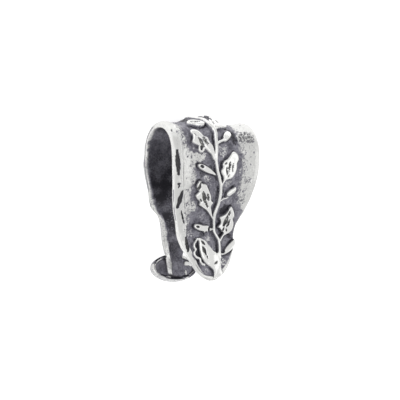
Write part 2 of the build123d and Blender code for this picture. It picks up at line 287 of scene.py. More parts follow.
STEM = {
    "up": (
        2.4, 3.0, 4.0, 4.5, 5.0, 5.5, 6.0, 7.0, 8.0, 8.6, 9.2, 10.0, 11.0, 12.0, 12.5, 13.0, 13.5, 14.0,
        14.6, 15.2, 15.8, 16.6, 17.2, 17.6, 18.0, 18.5, 19.0, 19.3, 19.7, 20.4, 21.2, 22.0,
    ),
    "across": (
        0.92, 0.93, 0.98, 0.98, 0.73, 0.48, 0.25, 0.12, 0.00, -0.04, 0.07, 0.26, 0.31, 0.18, -0.02, -0.22,
        -0.43, -0.53, -0.62, -0.62, -0.56, -0.48, -0.37, -0.40, -0.68, -0.91, -1.10, -1.42, -1.83, -1.95,
        -1.65, -1.25,
    ),
    "half": (
        0.26, 0.20, 0.19, 0.22, 0.21, 0.21, 0.21, 0.18, 0.19, 0.22, 0.21, 0.20, 0.21, 0.20, 0.19, 0.19,
        0.18, 0.18, 0.19, 0.21, 0.21, 0.20, 0.21, 0.22, 0.18, 0.17, 0.17, 0.16, 0.16, 0.18, 0.16, 0.05,
    ),
}
# Other raised lines: curled-over edges of leaves, twigs and a thread round the tip
THREADS = {
    "fork": ((-0.40, 17.55), (-0.22, 17.85), (-0.30, 18.20), (-0.28, 18.60)),
    "curl_left_1": (
        (-2.52, 15.96), (-2.54, 15.76), (-2.40, 15.62), (-2.20, 15.60), (-2.06, 15.72), (-2.02, 15.88),
    ),
    "lobe_high": ((-1.84, 4.92), (-1.98, 4.60), (-2.26, 4.20), (-2.28, 3.82), (-2.08, 3.52)),
    "lobe_middle": ((-2.08, 3.52), (-2.34, 3.22), (-2.36, 2.92), (-2.12, 2.68), (-1.74, 2.56)),
    "curl_left_3": ((-1.62, 2.50), (-1.58, 2.18), (-1.40, 1.96), (-1.08, 1.84)),
    "tip_line": ((-2.30, 1.70), (-1.90, 1.12), (-1.40, 0.76), (-0.95, 0.56), (-0.10, 0.38)),
    "twig_right_1": ((-0.40, 16.20), (-0.10, 16.38), (0.20, 16.48)),
    "twig_right_2": ((0.30, 10.00), (0.62, 10.28), (1.00, 10.42), (1.62, 10.52)),
    "bead_twig": ((0.05, 6.45), (-0.30, 6.48)),
}
thread_half = 0.09
BOSS = (
    (-0.95, 2.15), (-0.45, 1.58), (0.00, 1.14), (0.08, 0.60), (0.05, 0.00), (0.80, -0.30), (1.60, 0.00),
    (1.40, 0.80), (1.16, 1.40), (1.08, 2.00), (1.10, 2.65), (1.22, 2.98), (0.92, 3.25), (0.45, 3.02),
    (0.10, 3.12), (-0.45, 3.15), (-0.95, 2.75),
)
LEAVES = {
    "left_1": (
        (-0.72, 14.75), (-0.80, 15.37), (-0.96, 16.02), (-1.30, 16.42), (-1.46, 16.82), (-1.88, 17.02),
        (-2.14, 17.42), (-2.52, 17.74), (-3.10, 17.84), (-3.24, 17.50), (-3.10, 17.22), (-3.16, 16.92),
        (-3.36, 16.50), (-3.04, 16.30), (-2.60, 16.12), (-2.12, 15.98), (-1.64, 15.62), (-1.19, 15.20),
        (-0.94, 14.60),
    ),
    "right_1": (
        (0.10, 11.90), (0.44, 12.42), (0.40, 12.86), (0.14, 13.16), (0.02, 13.52), (0.28, 13.86),
        (0.22, 14.14), (0.44, 14.50), (0.95, 14.76), (1.28, 15.08), (1.56, 15.44), (2.06, 15.64),
        (2.52, 15.44), (2.72, 15.10), (2.74, 14.66), (2.50, 14.26), (2.46, 13.66), (2.20, 13.10),
        (1.70, 12.68), (0.98, 12.54), (0.60, 12.30), (0.34, 11.80),
    ),
    "left_2": (
        (-0.14, 7.86), (-0.48, 8.26), (-0.86, 8.72), (-1.24, 9.10), (-1.68, 9.34), (-2.08, 9.60),
        (-2.08, 9.98), (-2.48, 10.32), (-2.68, 10.72), (-2.36, 11.16), (-2.64, 11.52), (-2.72, 11.84),
        (-2.50, 12.30), (-2.28, 12.42), (-2.10, 12.14), (-1.66, 12.08), (-1.42, 11.74), (-1.06, 11.14),
        (-0.86, 10.76), (-0.78, 10.32), (-0.50, 10.08), (-0.70, 9.62), (-0.56, 9.12), (-0.36, 8.56),
        (-0.14, 8.10),
    ),
    "right_2": (
        (0.98, 4.50), (1.36, 5.22), (1.70, 5.74), (1.44, 6.10), (1.12, 6.48), (0.82, 6.72),
        (0.96, 7.00), (1.20, 7.26), (1.06, 7.72), (0.86, 8.10), (1.28, 8.26), (1.66, 8.44),
        (2.04, 8.84), (2.20, 9.24), (2.46, 9.38), (2.72, 9.10), (2.96, 8.62), (3.00, 8.20),
        (2.84, 7.84), (2.98, 7.36), (2.94, 6.74), (2.80, 6.22), (2.52, 5.80), (2.18, 5.54),
        (1.80, 5.24), (1.50, 4.76), (1.20, 4.26),
    ),
    "left_3": (
        (-1.70, 5.04), (-1.32, 4.84), (-0.88, 4.46), (-0.66, 4.02), (-0.38, 3.66), (-0.02, 3.24),
        (0.40, 3.00), (0.50, 2.20), (0.10, 1.50), (-0.60, 1.66), (-1.00, 2.00), (-1.30, 2.34),
        (-1.52, 2.76), (-1.66, 3.25), (-1.70, 3.90), (-1.70, 4.45), (-1.86, 4.80),
    ),
    "crest_left": (
        (-1.16, 18.22), (-1.50, 18.04), (-2.16, 18.18), (-2.58, 18.48), (-2.92, 18.66), (-3.04, 18.94),
        (-2.70, 19.20), (-2.15, 19.10), (-1.66, 18.80), (-1.36, 18.54),
    ),
    "crest_right": (
        (-0.10, 17.50), (0.40, 17.64), (1.28, 17.82), (1.86, 18.12), (1.62, 18.52), (1.95, 19.10),
        (1.75, 19.60), (1.95, 20.20), (1.45, 20.90), (0.85, 21.00), (0.62, 20.40), (0.20, 20.10),
        (0.35, 19.50), (-0.02, 19.10), (0.05, 18.70), (-0.20, 18.44), (-0.08, 18.10), (-0.28, 17.84),
    ),
}
BUDS = {
    "bud_right_1": (
        (-0.12, 16.36), (0.28, 16.60), (0.54, 16.72), (0.66, 17.02), (1.05, 17.32), (1.52, 17.48),
        (1.88, 17.38), (1.94, 17.06), (1.52, 16.72), (0.98, 16.46), (0.56, 16.42), (0.20, 16.34),
    ),
    "bud_left_1": (
        (-0.66, 13.20), (-0.95, 13.46), (-1.32, 13.74), (-1.82, 14.02), (-2.30, 14.20), (-2.72, 14.14),
        (-2.72, 13.86), (-2.44, 13.60), (-2.08, 13.42), (-1.62, 13.24), (-1.02, 13.10), (-0.60, 13.00),
    ),
    "bud_right_2": (
        (1.30, 10.98), (1.50, 11.26), (2.16, 11.56), (2.54, 11.74), (2.74, 11.48), (2.60, 11.12),
        (2.20, 10.84), (1.80, 10.66), (1.46, 10.72),
    ),
    "thorn": ((0.50, 10.10), (0.80, 10.32), (1.20, 10.38), (1.72, 10.48), (1.10, 10.54), (0.60, 10.42)),
    "bud_left_2": (
        (-2.30, 6.86), (-2.14, 7.18), (-1.72, 7.22), (-1.30, 7.10), (-0.84, 7.14), (-0.58, 7.02),
        (-0.66, 6.60), (-0.64, 6.00), (-0.90, 6.08), (-1.06, 5.80), (-1.24, 6.08), (-1.56, 6.16),
        (-1.94, 6.34), (-2.24, 6.56),
    ),
    "bead": ((-0.46, 6.26), (-0.26, 6.22), (-0.16, 6.44), (-0.24, 6.72), (-0.42, 6.66), (-0.34, 6.46)),
    "bud_right_3": (
        (1.00, 3.05), (1.45, 3.02), (1.70, 3.16), (1.76, 3.48), (2.20, 3.94), (2.70, 4.40), (3.00, 4.72),
        (3.30, 4.84), (3.50, 4.40), (3.30, 3.92), (2.92, 3.62), (2.55, 3.28), (2.10, 3.02), (1.50, 2.84),
        (1.05, 2.86),
    ),
}
# Flat lobes behind the lowest leaf, lower than it is
LOBES = {
    "lobe_high": (
        (-1.90, 4.86), (-2.06, 4.56), (-2.28, 4.18), (-2.20, 3.78), (-2.00, 3.56), (-1.88, 3.90),
        (-1.88, 4.40),
    ),
    "lobe_middle": (
        (-1.92, 3.42), (-2.20, 3.24), (-2.38, 3.02), (-2.18, 2.70), (-1.76, 2.52), (-1.68, 2.80),
        (-1.84, 3.10),
    ),
}
# Cuts in the leaves and buds: from (across, up) to (across, up), and how wide
SLOTS = (
    (-2.56, 16.80, -2.08, 16.00, 0.36), (-2.05, 16.85, -1.60, 16.20, 0.30),
    (-2.90, 17.25, -2.72, 17.00, 0.12), (1.34, 14.36, 1.18, 13.50, 0.34),
    (1.80, 14.20, 1.74, 13.50, 0.24), (0.80, 13.76, 0.94, 13.15, 0.30),
    (0.56, 14.20, 0.78, 14.32, 0.16), (1.30, 13.08, 1.04, 12.90, 0.12),
    (-1.90, 11.20, -1.52, 10.05, 0.44), (-1.50, 10.25, -1.14, 9.48, 0.22),
    (-1.36, 11.00, -1.16, 10.34, 0.32), (-2.30, 12.20, -2.52, 11.40, 0.30),
    (-2.15, 10.35, -1.95, 10.05, 0.12), (2.30, 8.78, 2.18, 8.24, 0.34),
    (2.12, 8.24, 1.66, 6.90, 0.60), (2.46, 7.72, 2.14, 6.76, 0.28),
    (1.72, 6.66, 1.60, 6.20, 0.30), (2.04, 6.46, 2.12, 6.02, 0.18),
    (-1.42, 4.50, -1.14, 4.00, 0.30), (-1.34, 3.70, -1.02, 2.90, 0.36),
    (-0.88, 2.68, -0.78, 2.48, 0.14), (-2.66, 18.78, -1.66, 18.46, 0.13),
    (0.24, 18.34, 0.44, 18.12, 0.16), (0.70, 19.00, 1.10, 20.00, 0.16),
    (0.04, 1.88, 0.44, 2.06, 0.26),
)
# Places in the blackened ground that wear has made light: (across, up), radius, how light
WORN = (
    (-2.60, 14.95, 0.95, 0.90), (-3.10, 14.40, 0.70, 0.85), (-2.95, 9.20, 0.90, 0.70),
    (-3.00, 7.60, 0.60, 0.45), (-1.60, 12.70, 0.70, 0.42), (0.55, 15.60, 0.70, 0.50),
    (1.60, 12.20, 0.70, 0.38), (-1.40, 8.20, 0.70, 0.30), (-3.00, 12.60, 0.70, 0.70),
    (-2.80, 5.60, 0.70, 0.38), (-0.70, 5.00, 0.50, 0.40), (1.50, 2.20, 0.60, 0.50),
    (0.40, 3.70, 0.40, 0.35), (1.80, 9.90, 0.70, 0.30), (-0.80, 1.10, 0.60, 0.34),
    (1.90, 4.90, 0.50, 0.30),
)
# Places in it that stayed blackest, the same way
BLACKEST = (
    (2.50, 17.20, 0.80, 0.90), (1.35, 8.90, 0.60, 0.85), (-2.20, 13.00, 0.50, 0.60),
    (1.70, 16.20, 0.50, 0.50), (-1.20, 5.40, 0.45, 0.60), (2.60, 5.20, 0.40, 0.70),
    (-0.60, 19.60, 0.90, 0.80), (-2.60, 19.90, 0.90, 0.80), (-2.00, 2.20, 0.45, 0.80),
    (-1.10, 13.90, 0.40, 0.60), (0.70, 11.20, 0.35, 0.70), (-0.60, 9.90, 0.30, 0.70),
)
# Pitted places outside it: (across, up), half width, half length, how many pits
PITTED = (
    (4.20, 17.10, 1.20, 1.00, 0.75), (3.90, 10.30, 0.60, 1.40, 0.62), (4.50, 14.20, 0.80, 2.60, 0.30),
    (3.70, 14.60, 0.50, 2.60, 0.60), (-3.60, 10.60, 0.55, 3.40, 0.36), (-3.90, 15.60, 0.50, 0.60, 0.55),
    (-4.50, 17.20, 0.60, 0.90, 0.60), (4.05, 12.40, 0.60, 0.60, 0.60), (-4.60, 18.60, 0.90, 0.70, 0.35),
    (-5.60, 24.40, 0.55, 1.10, 1.00), (-5.75, 25.60, 0.30, 0.60, 0.80),
)
# Black hollows in the left edge, the buds and one curl: from (across, up) to (across, up), width
HOLLOWS = (
    (-5.45, 15.60, -5.28, 13.10, 0.62), (-5.22, 12.02, -4.96, 12.02, 0.14),
    (-5.08, 12.00, -5.06, 11.62, 0.15), (-4.50, 11.10, -4.78, 9.26, 0.64),
    (-4.20, 8.76, -3.52, 7.12, 0.19), (-3.24, 5.16, -3.06, 3.42, 0.48),
    (-5.50, 22.30, -5.40, 22.10, 0.26), (-5.62, 17.90, -5.60, 17.70, 0.20),
    (-5.30, 28.00, -5.00, 26.40, 0.22), (-2.44, 13.96, -2.12, 13.84, 0.30),
    (-1.98, 6.84, -1.82, 6.78, 0.44), (-2.34, 15.88, -2.28, 15.80, 0.24),
)
hollow_depth = 0.2
pit_depth = 0.07
ridge_height = 0.08
ridge_width = 0.12
# Cells and widths of the close pits and of the sparse ones, and cells of the grain
pit_cell = 0.27
pit_width = 0.15
sparse_cell = 1.3
sparse_width = 0.14
rough_cell = 0.5
grain_cell = 0.17
# The black ground fades out over this width, and pits gather as near to it
ground_fade = 0.5
ground_pits = 0.45
# Behind the crest the face turns plain: from this share of the crest's own
# distance up, and over this length
plain_share = 1.1
plain_fade = 1.6
# The crest's vine is worn low, and the strap swells at its left shoulder
crest_wear = 0.6
worn_from = 18.2
worn_fade = 1.4
shoulder_height = 0.38
shoulder_across = -2.5
shoulder_up = 19.9
shoulder_half_width = 1.2
shoulder_half_length = 1.3
# The boss and its leaf sink towards the tip, over this length from its edge
tip_lift_share = 0.53
tip_reach = 1.6


def closed_curve(corners):
    """A smooth closed outline through given corners."""
    p = np.array(corners)
    t = np.linspace(0, 1, 6, endpoint=False)[None, :, None]
    a, b, c, d = (np.roll(p, k, axis=0)[:, None, :] for k in (1, 0, -1, -2))
    curve = b + t * ((c - a) + t * ((2 * a - 5 * b + 4 * c - d) + t * (3 * b - a - 3 * c + d))) / 2
    curve = curve.reshape(-1, 2)
    return np.vstack([curve, curve[:1]])


def stem_outline():
    """The stem's outline, worked out from its middle line and half widths."""
    up = np.linspace(STEM["up"][0], STEM["up"][-1], 320)
    at = np.array(STEM["up"])
    across = steady(at, np.array(STEM["across"]), up)
    half = steady(at, np.array(STEM["half"]), up)
    side = np.column_stack([np.ones(len(up)), -np.gradient(across, up)])
    side *= (half / np.hypot(*side.T))[:, None]
    middle = np.column_stack([across, up])
    outline = np.vstack([middle + side, (middle - side)[::-1]])
    return np.vstack([outline, outline[:1]])


def depth_in(x, s, outline):
    """Distance from a closed outline, positive inside it."""
    best = np.full(len(x), np.inf)
    hit = np.zeros(len(x), bool)
    for (x0, s0), (x1, s1) in zip(outline[:-1], outline[1:]):
        dx = x1 - x0
        ds = s1 - s0
        size = dx * dx + ds * ds
        if size == 0:
            continue
        t = np.clip(((x - x0) * dx + (s - s0) * ds) / size, 0, 1)
        best = np.minimum(best, np.hypot(x - x0 - t * dx, s - s0 - t * ds))
        if ds != 0:
            hit ^= ((s0 > s) != (s1 > s)) & (x < x0 + (s - s0) * dx / ds)
    return np.where(hit, best, -best)


def near(x, s, outline, margin):
    """Which points lie in the outline's own box, widened by a margin."""
    low = outline.min(axis=0) - margin
    high = outline.max(axis=0) + margin
    return (x > low[0]) & (x < high[0]) & (s > low[1]) & (s < high[1])


def from_line(x, s, corners):
    """Distance from a given line, and the share of its length at the nearest point."""
    p = np.array(corners)
    size = np.hypot(*np.diff(p, axis=0).T)
    before = np.concatenate([[0], np.cumsum(size)])
    away = np.full(len(x), np.inf)
    share = np.zeros(len(x))
    for k in range(len(p) - 1):
        dx, ds = p[k + 1] - p[k]
        t = np.clip(((x - p[k, 0]) * dx + (s - p[k, 1]) * ds) / size[k] ** 2, 0, 1)
        here = np.hypot(x - p[k, 0] - t * dx, s - p[k, 1] - t * ds)
        nearer = here < away
        away[nearer] = here[nearer]
        share[nearer] = (before[k] + t[nearer] * size[k]) / before[-1]
    return away, share


def swelling(deep, reach):
    """Round rise from a form's foot to its top, over a reach inwards."""
    return np.sqrt(np.clip(1 - (1 - np.clip(deep / reach, 0, 1)) ** 2, 0, 1))


def cut(x, s, rows):
    """1 in the middle of lens-shaped cuts with ragged sides, 0 outside them."""
    found = np.zeros(len(x))
    ragged = 0.10 * (rumple(x, s, 0.18, 31) - 0.5)
    for x0, s0, x1, s1, width in rows:
        ends = np.array([(x0, s0), (x1, s1)])
        here = near(x, s, ends, width)
        away, share = from_line(x[here], s[here], ends)
        half = width / 2 * (0.5 + 0.5 * np.sin(np.pi * share)) + 0.03
        found[here] = np.maximum(found[here], smooth(2.2 * (1 - (away + ragged[here]) / half)))
    return found


def in_places(x, s, rows):
    """How strongly the nearest of some oval places is felt, fading at its edge."""
    found = np.zeros(len(x))
    ragged = 0.9 * (rumple(x, s, 0.5, 35) - 0.5) + 0.5 * (rumple(x, s, 0.2, 36) - 0.5)
    for x0, s0, half_x, half_s, strength in rows:
        away = np.hypot((x - x0) / half_x, (s - s0) / half_s) + ragged
        found = np.maximum(found, strength * (1 - smooth((away - 0.5) / 0.8)))
    return found


def vine(x, s):
    """Lift of the vine, how near a form's top, distance from it, and depth of its cuts."""
    lift = np.zeros(len(x))
    top = np.zeros(len(x))
    gap = np.full(len(x), 1.0)
    forms = [(stem_outline(), stem_height, stem_reach, 1.0)]
    forms += [(closed_curve(edge), leaf_height, leaf_reach, 1.0) for edge in LEAVES.values()]
    forms += [(closed_curve(edge), bud_height, bud_reach, 1.0) for edge in BUDS.values()]
    forms += [(closed_curve(edge), lobe_height, lobe_reach, 0.0) for edge in LOBES.values()]
    forms.append((closed_curve(BOSS), stem_height, boss_reach, 1.0))
    hammered = 0.86 + 0.28 * rumple(x, s, hammer_cell, 33)
    for outline, height, reach, polished in forms:
        here = near(x, s, outline, 1.0)
        deep = depth_in(x[here], s[here], outline)
        foot = smooth((deep + draft_width / 2) / draft_width)
        rounded = swelling(deep, reach) * hammered[here]
        over = height * foot * (flat_share + (1 - flat_share) * rounded)
        lift[here] = np.maximum(lift[here], over)
        top[here] = np.maximum(top[here], polished * smooth((foot - 0.42) / 0.4))
        gap[here] = np.minimum(gap[here], np.clip(-deep, 0, None))
    for corners in THREADS.values():
        here = near(x, s, np.array(corners), 1.0)
        away, share = from_line(x[here], s[here], corners)
        round_top = np.sqrt(np.clip(1 - (away / (thread_half + 0.05)) ** 2, 0, 1))
        lift[here] = np.maximum(lift[here], thread_height * round_top)
        top[here] = np.maximum(top[here], smooth((round_top - 0.3) / 0.35))
        gap[here] = np.minimum(gap[here], np.clip(away - thread_half, 0, None))
    return lift, top, gap, cut(x, s, SLOTS) * smooth(lift / 0.15)


def edge_width(x, s):
    """Width of the rounded edge on the side that a point lies on."""
    left = np.interp(s, EDGES["up"], EDGES["left"])
    right = np.interp(s, EDGES["up"], EDGES["right"])
    return np.where(x < middle_at(s), left, right)


def outer_face(x, s):
    """Height of the strap's outer face, how black it is, and how polished."""
    w = np.maximum(half_width(s), 1e-4)
    thick = np.interp(s, run, thick_at) * wall_thickness
    rise = np.interp(s, run, border_at) * border_height
    dome = np.interp(s, run, dome_at) * dome_height
    edge = edge_width(x, s)
    valley = valley_share * w
    rim = from_rim(x, s)
    away = np.abs(x - middle_at(s))
    border = smooth((away - valley) / np.maximum(w - edge - valley, 0.4 * w))
    middle = 1 - smooth(away / valley)
    fall = np.clip(1 - rim / edge, 0, 1)
    height = thick - rise * (1 - border) + dome * middle - (1 - edge_share) * thick * fall**1.6
    beside = (x - shoulder_across) / shoulder_half_width
    along = (s - shoulder_up) / shoulder_half_length
    height += shoulder_height * np.exp(-(beside**2) - along**2)
    front = 1 - smooth((s - plain_share * crest) / plain_fade)

    # The vine, sunk at the tip and at the strap's edge, with crevices along its foot, darkened by patina and
    # by painted shade
    lift, top, gap, slot = vine(x, s)
    worn_crest = 1 - crest_wear * smooth((s - worn_from) / worn_fade)
    risen = tip_lift_share + (1 - tip_lift_share) * smooth(s / tip_reach)
    lift = lift * smooth((rim - 0.06) / 0.18) * worn_crest * risen
    top = top * smooth((rim - 0.10) / 0.15)
    crevice_patina_and_shade = np.exp(-((gap / crevice_width) ** 2)) * (1 - top)
    crevice_patina_and_shade = crevice_patina_and_shade * (0.35 + 0.9 * rumple(x, s, 0.6, 10))

    # How far the black ground reaches, and where it is worn, blackest or pitted
    uneven = rumple(x, s, 0.9, 5) + 0.8 * rumple(x, s, 0.26, 6) + 0.9 * rumple(x, s, 0.13, 4) - 1.35
    beyond = np.where(x < 0, -x - np.interp(s, GROUND["up"], GROUND["left"]),
                      x - np.interp(s, GROUND["up"], GROUND["right"]))
    zone = 1 - smooth((beyond + 0.5 * uneven) / ground_fade + 0.5)
    zone = zone * smooth((rim - 0.85 * edge) / 0.14)
    zone = zone * front
    bare = 1 - smooth(lift / 0.06)
    ridge = np.exp(-(((rim - edge) / ridge_width) ** 2)) * (0.5 + 0.7 * rumple(x, s, 1.6, 9)) * bare
    ridge = ridge * np.where(x < 0, 1.0, 0.35) * front
    hollow = cut(x, s, HOLLOWS)
    blackest = in_places(x, s, [(a, b, r, r, k) for a, b, r, k in BLACKEST]) * bare * zone
    worn = in_places(x, s, [(a, b, r, r, k) for a, b, r, k in WORN])
    worn = np.maximum(worn, 0.24) * np.clip(1 - 1.5 * crevice_patina_and_shade - blackest, 0, 1) * zone * bare
    near_ground = np.exp(-((beyond / ground_pits) ** 2)) * smooth((rim - edge) / 0.2) * front
    many = np.maximum(in_places(x, s, PITTED), 0.52 * near_ground)
    pit = pits(x, s, pit_cell, pit_width, 21)
    pit = pit * smooth((rumple(x, s, 0.34, 22) - 1 + many) / 0.2 + 0.5)
    pit = pit * smooth(5 * many) * (1 - zone) * bare
    sparse = pits(x, s, sparse_cell, sparse_width, 25)
    sparse = sparse * (1 - zone) * bare * smooth((rim - 0.3) / 0.2)
    pit = np.maximum(pit, 0.7 * sparse)

    # Heights of all that, on the strap's own
    height += lift - crevice_depth * crevice_patina_and_shade - slot_depth * slot - hollow_depth * hollow
    height += ridge_height * ridge - pit_depth * pit
    grainy = 0.04 * (rumple(x, s, rough_cell, 7) - 1)
    grainy = grainy + (0.03 + 0.05 * zone) * (rumple(x, s, grain_cell, 8) - 1)
    height += bare * grainy

    # Finishes: black in the low places (patina, and painted shade in the crevices), polished on the high ones
    oxide_and_shade = zone * (1 - top) * (0.54 + 0.46 * np.maximum(crevice_patina_and_shade, blackest))
    oxide_and_shade = np.maximum(oxide_and_shade, crevice_patina_and_shade * (1 - top) * smooth((rim - 0.2) / 0.2) * front)
    oxide_and_shade = np.maximum(oxide_and_shade, smooth(2.2 * slot) * (0.40 + 1.8 * slot * (1 - slot)))
    oxide_and_shade = np.maximum(oxide_and_shade, smooth(2.5 * hollow) * (0.72 + 0.9 * hollow * (1 - hollow)))
    oxide_and_shade = np.maximum(oxide_and_shade, 0.62 * pit)
    polish_and_highlight = np.maximum(top * (1 - slot), ridge)
    worn = np.maximum(worn, 0.35 * slot)
    pitted = np.maximum(0.35, many) * (1 - zone) * bare * smooth((rim - 0.1) / 0.3)
    pitted = np.maximum(pitted, smooth(2 * np.maximum(slot, hollow)))
    return height, np.clip(np.column_stack([oxide_and_shade, polish_and_highlight, worn, pitted]), 0, 1)


outer_count = 176
inner_count = 30
wall_count = 7
tip_rows = 36
front_rows = 320
back_rows = 64
heel_rows = 8
vine_end_share = 1.16


def strap_rows():
    """Where the strap's cross-sections stand: close at its round ends and under the vine."""
    vine_end = vine_end_share * crest
    tip = tip_radius * (1 - np.cos(np.linspace(0.03, np.pi / 2, tip_rows)))
    front = np.linspace(tip_radius, vine_end, front_rows)[1:]
    back = np.linspace(vine_end, length - heel_radius, back_rows)[1:]
    heel = length - heel_radius * (1 - np.cos(np.linspace(np.pi / 2, 0.05, heel_rows)))[1:]
    return np.concatenate([tip, front, back, heel])


# Finishes per point: oxide, with painted shade added; polish, with painted highlights added; wear; pits
FINISHES = ("oxide_and_shade", "polish_and_highlight", "worn", "pitted")
# The neck starts this far up, and its chamfer falls by a share of its own width
neck_start = 30
chamfer_share = 0.6
# A black notch in the left edge: (across, up), half width, half length, how black
NOTCH = (-5.75, 24.2, 0.5, 0.9, 1.0)
# The inner face, by distance up: width of its chamfered left edge, how black, how worn
INSIDE = {
    "up": (0.0, 15.0, 21.0, 23.0, 25.0, 27.5, 30.0, 33.0, 36.0, 38.5, 40.5),
    "chamfer": (0.10, 0.10, 0.10, 0.10, 0.12, 0.22, 0.34, 0.50, 0.58, 0.56, 0.50),
    "black": (0.90, 0.90, 0.80, 0.50, 0.70, 0.90, 0.92, 0.90, 0.86, 0.74, 0.60),
    "worn": (0.00, 0.00, 0.05, 0.20, 0.10, 0.05, 0.24, 0.28, 0.16, 0.08, 0.05),
}


def inner_face(x, s):
    """Height of the strap's inner face, with its left edge chamfered wide on the neck."""
    left = x < middle_at(s)
    side = np.maximum(np.interp(s, run, width_at) * half_band - np.abs(x - middle_at(s)), 0)
    rim = np.where(s > neck_start, side, from_rim(x, s))
    wide = np.where(left, np.interp(s, INSIDE["up"], INSIDE["chamfer"]), corner_radius)
    wide = np.minimum(wide, 0.45 * np.maximum(half_width(s), 1e-4) + 0.02)
    ragged = wide * (0.70 + 0.6 * rumple(x, s, 0.5, 18))
    low = chamfer_share * wide * np.clip(1 - rim / ragged, 0, 1) + 0.03 * rumple(x, s, 1.1, 17)
    edge_bright = 1 - smooth((rim - 0.8 * ragged) / 0.14)
    bright = np.where(left | (s < neck_start), edge_bright, 0.3 * (rim < 0.05))
    notch = in_places(x, s, [NOTCH]) * smooth((rumple(x, s, 0.3, 24) - 0.3) / 0.2)
    bright = bright * (1 - notch)
    black = np.interp(s, INSIDE["up"], INSIDE["black"]) * (0.80 + 0.36 * rumple(x, s, 0.8, 19))
    worn = np.interp(s, INSIDE["up"], INSIDE["worn"]) * smooth((rumple(x, s, 1.4, 20) - 0.3) / 0.4)
    oxide_and_shade = black * (1 - bright)
    return low, np.clip(np.column_stack([oxide_and_shade, 0.35 * bright, worn * (1 - bright), 0.5 * bright]), 0, 1)


pinch_depth = 0.045
groove_depth = 0.05
# The arch's side, from one distance up to the other, has no groove
arch_side = (17.5, 25)


def side_wall(side, rows, inner, outer):
    """The strap's cut edge on one side, pinched and grooved, from its outer to its inner face."""
    down = np.arange(1, wall_count + 1) / (wall_count + 1)
    rise, s = np.meshgrid(down if side < 0 else down[::-1], rows)
    pinch = pinch_depth * (rumple(rise * 2, s, 0.8, 11) + rumple(rise, s, 2.2, 12))
    groove = np.exp(-(((rise - 0.45) / 0.16) ** 2)) * smooth((rumple(0 * s, s, 1.3, 13) - 0.45) / 0.2)
    groove = groove * (1 - smooth((s - arch_side[0]) / 1.5) + smooth((s - arch_side[1]) / 1.5))
    pinch += groove_depth * groove
    pinched = 1 - pinch * (0.5 + 0.5 * smooth((s - 1) / 2)) / half_band
    swing = middle_at(s) + side * half_width(s) * pinched
    height = inner[:, None] + rise * (outer - inner)[:, None]
    ring = place(swing.ravel(), s.ravel(), height.ravel()).reshape(*s.shape, 3)
    # Painted shade: the right wall is darkened towards the heel
    heel_painted_shade = 0.7 * smooth((s - 33) / 2) * (side > 0)
    dull = 0.34 * smooth((rise - 0.3) / 0.4) * smooth((s - 20) / 2) * (0.6 + 0.8 * rumple(rise, s, 0.6, 14))
    oxide_and_shade = np.maximum(np.maximum(0.85 * groove, heel_painted_shade), dull)
    finish = np.stack([oxide_and_shade, 0.4 * (1 - oxide_and_shade), 0 * s, 0.4 * (1 - oxide_and_shade)], axis=-1)
    return ring, finish


def strap_mesh():
    """Rings of points round the strap's section, from the tip to the pad."""
    rows = strap_rows()
    # Shares of the half width where points stand, closest together at the edges
    close = np.array((0.9995, 0.997, 0.991, 0.983))
    outer = np.concatenate([-close, np.linspace(-0.975, 0.975, outer_count), close[::-1]])
    inner = np.concatenate([close[:2], np.linspace(0.985, -0.985, inner_count), -close[:2][::-1]])
    faces = []
    heights = []
    for shares, shape in ((outer, outer_face), (inner, inner_face)):
        share, s = np.meshgrid(shares, rows)
        x = (middle_at(s) + share * half_width(s)).ravel()
        height, finish = shape(x, s.ravel())
        if shape is outer_face:
            height -= corner_radius * (1 - swelling(from_rim(x, s.ravel()), corner_radius))
        faces.append((place(x, s.ravel(), height).reshape(*s.shape, 3), finish.reshape(*s.shape, -1)))
        heights.append(height.reshape(s.shape))
    top, low = heights
    right = side_wall(1, rows, low[:, 0], top[:, -1])
    left = side_wall(-1, rows, low[:, -1], top[:, 0])
    ring = (faces[0], right, faces[1], left)
    points, finishes = (np.concatenate([piece[k] for piece in ring], axis=1) for k in (0, 1))
    return points, finishes


def tube_faces(ring_count, ring_size):
    """Four-sided faces between rings, and one face to close each end."""
    ring, k = np.meshgrid(np.arange(ring_count - 1), np.arange(ring_size), indexing="ij")
    after = (k + 1) % ring_size
    a = ring * ring_size
    b = a + ring_size
    faces = np.stack([a + k, a + after, b + after, b + k], axis=-1).reshape(-1, 4)
    last = (ring_count - 1) * ring_size
    ends = [list(range(ring_size))[::-1], [last + k for k in range(ring_size)]]
    return [*faces.tolist(), *ends]


def piece_from(name, points, faces, finishes):
    """A smooth-shaded mesh object with a number per point for each finish."""
    mesh = bpy.data.meshes.new(name)
    mesh.from_pydata([tuple(p) for p in points], [], faces)
    mesh.validate()
    for k, finish in enumerate(FINISHES):
        layer = mesh.attributes.new(finish, "FLOAT", "POINT")
        layer.data.foreach_set("value", finishes[..., k].astype(np.float32).ravel())
    mesh.shade_smooth()
    piece = bpy.data.objects.new(name, mesh)
    bpy.context.scene.collection.objects.link(piece)
    return piece


points, finishes = strap_mesh()
strap = piece_from("strap", laid(points.reshape(-1, 3)), tube_faces(*points.shape[:2]), finishes)


